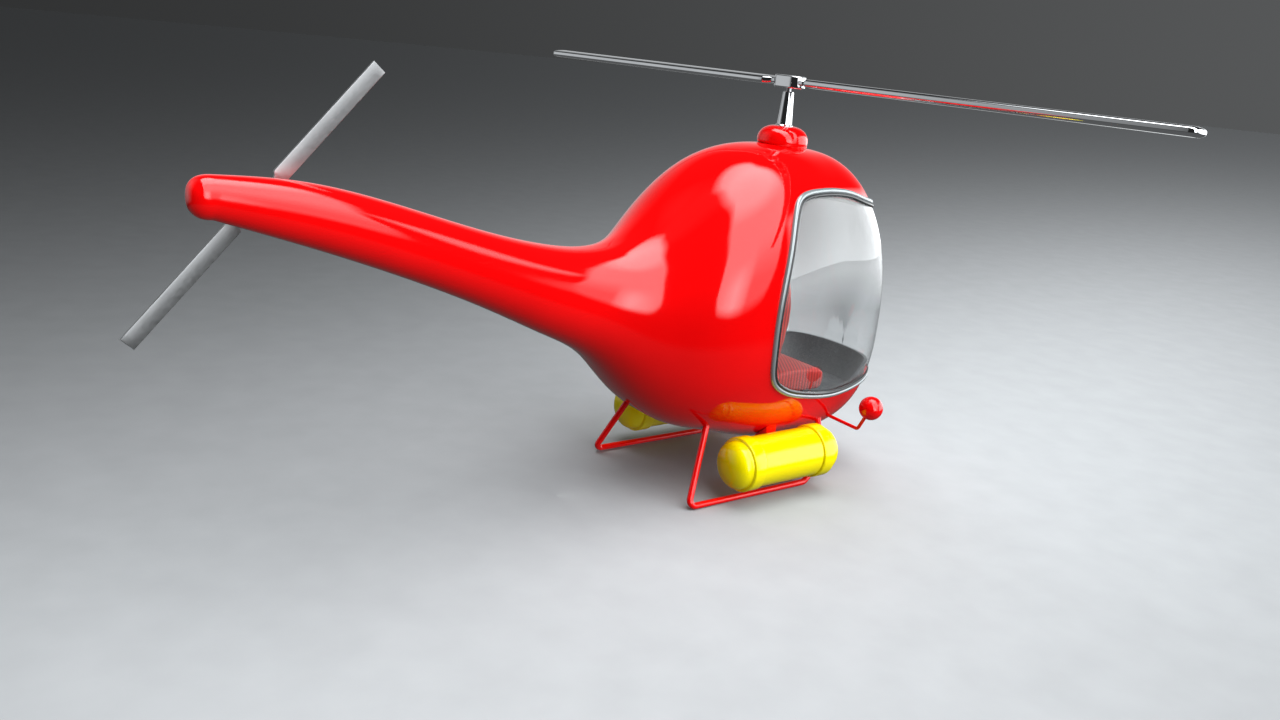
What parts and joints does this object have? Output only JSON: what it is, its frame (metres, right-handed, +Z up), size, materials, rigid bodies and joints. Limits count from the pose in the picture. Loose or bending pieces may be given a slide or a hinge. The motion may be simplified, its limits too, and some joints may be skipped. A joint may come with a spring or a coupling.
{
  "type": "toy helicopter",
  "caption": "Toy helicopter with a hollow fuselage and tail boom, wrap-round windshield, seat, wire skids, side tanks and free-turning main and tail rotors.",
  "frame": {"origin": "middle of the whole model's base, at the height of the skids' undersides", "axes": "+X to the nose, +Y to port, +Z up"},
  "size_m": [0.2756, 0.3, 0.1508],
  "materials": {
    "red_plastic": "polished, pure red",
    "yellow_plastic": "polished, lemon yellow",
    "chrome": "mirror-bright plating",
    "steel": "plain turned steel",
    "brass": "plain turned brass",
    "grey_gasket": "smooth silver-grey rubber",
    "clear_plastic": "clear, colourless, polished",
    "cabin_plastic": "dark grey, fine grain",
    "seat_cover": "dark red ribbed cloth",
    "satin_aluminium": "satin, pale grey",
    "ballast_iron": "as cast"
  },
  "bodies": {
    "airframe": {"cabin_bulkhead": "cabin_plastic", "cabin_tub": "cabin_plastic", "front_strut_clip_port": "steel", "front_strut_clip_starboard": "steel", "fuselage_port_shell": "red_plastic", "fuselage_starboard_shell": "red_plastic", "lamp_ball_port": "red_plastic", "lamp_ball_starboard": "red_plastic", "lamp_stalk_port": "red_plastic", "lamp_stalk_starboard": "red_plastic", "lower_bush": "brass", "mast_tube": "chrome", "nose_ballast": "ballast_iron", "rear_strut_clip_port": "steel", "rear_strut_clip_starboard": "steel", "rotor_fairing": "red_plastic", "seat_back_cushion": "seat_cover", "seat_base_cushion": "seat_cover", "shell_screw_1": "steel", "shell_screw_2": "steel", "shell_screw_3": "steel", "shell_screw_4": "steel", "skid_port": "red_plastic", "skid_starboard": "red_plastic", "tail_bush": "brass", "tank_barrel_port": "yellow_plastic", "tank_barrel_starboard": "yellow_plastic", "tank_bracket_port": "red_plastic", "tank_bracket_starboard": "red_plastic", "tank_front_cap_port": "yellow_plastic", "tank_front_cap_starboard": "yellow_plastic", "tank_rear_cap_port": "yellow_plastic", "tank_rear_cap_starboard": "yellow_plastic", "upper_bush": "brass", "windshield": "clear_plastic", "windshield_gasket": "grey_gasket"},
    "main_rotor": {"rotor_shaft": "steel", "shaft_clip": "steel", "rotor_hub": "chrome", "hub_grub_screw": "steel", "blade_port": "chrome", "blade_starboard": "chrome", "blade_pin_port": "steel", "blade_pin_starboard": "steel"},
    "tail_rotor": {"tail_shaft": "steel", "tail_clip": "steel", "tail_hub": "satin_aluminium", "tail_blade_upper": "satin_aluminium", "tail_blade_lower": "satin_aluminium", "tail_pin_upper": "steel", "tail_pin_lower": "steel"}
  },
  "joints": [
    {"name": "main_rotor_spin", "type": "hinge", "parent": "airframe", "child": "main_rotor", "pos_m": [0.08743, 0, 0.1486], "axis": [0, 0, 1], "continuous": true},
    {"name": "tail_rotor_spin", "type": "hinge", "parent": "airframe", "child": "tail_rotor", "pos_m": [-0.10067, 0.012, 0.1039], "axis": [0, 1, 0], "continuous": true}
  ]
}
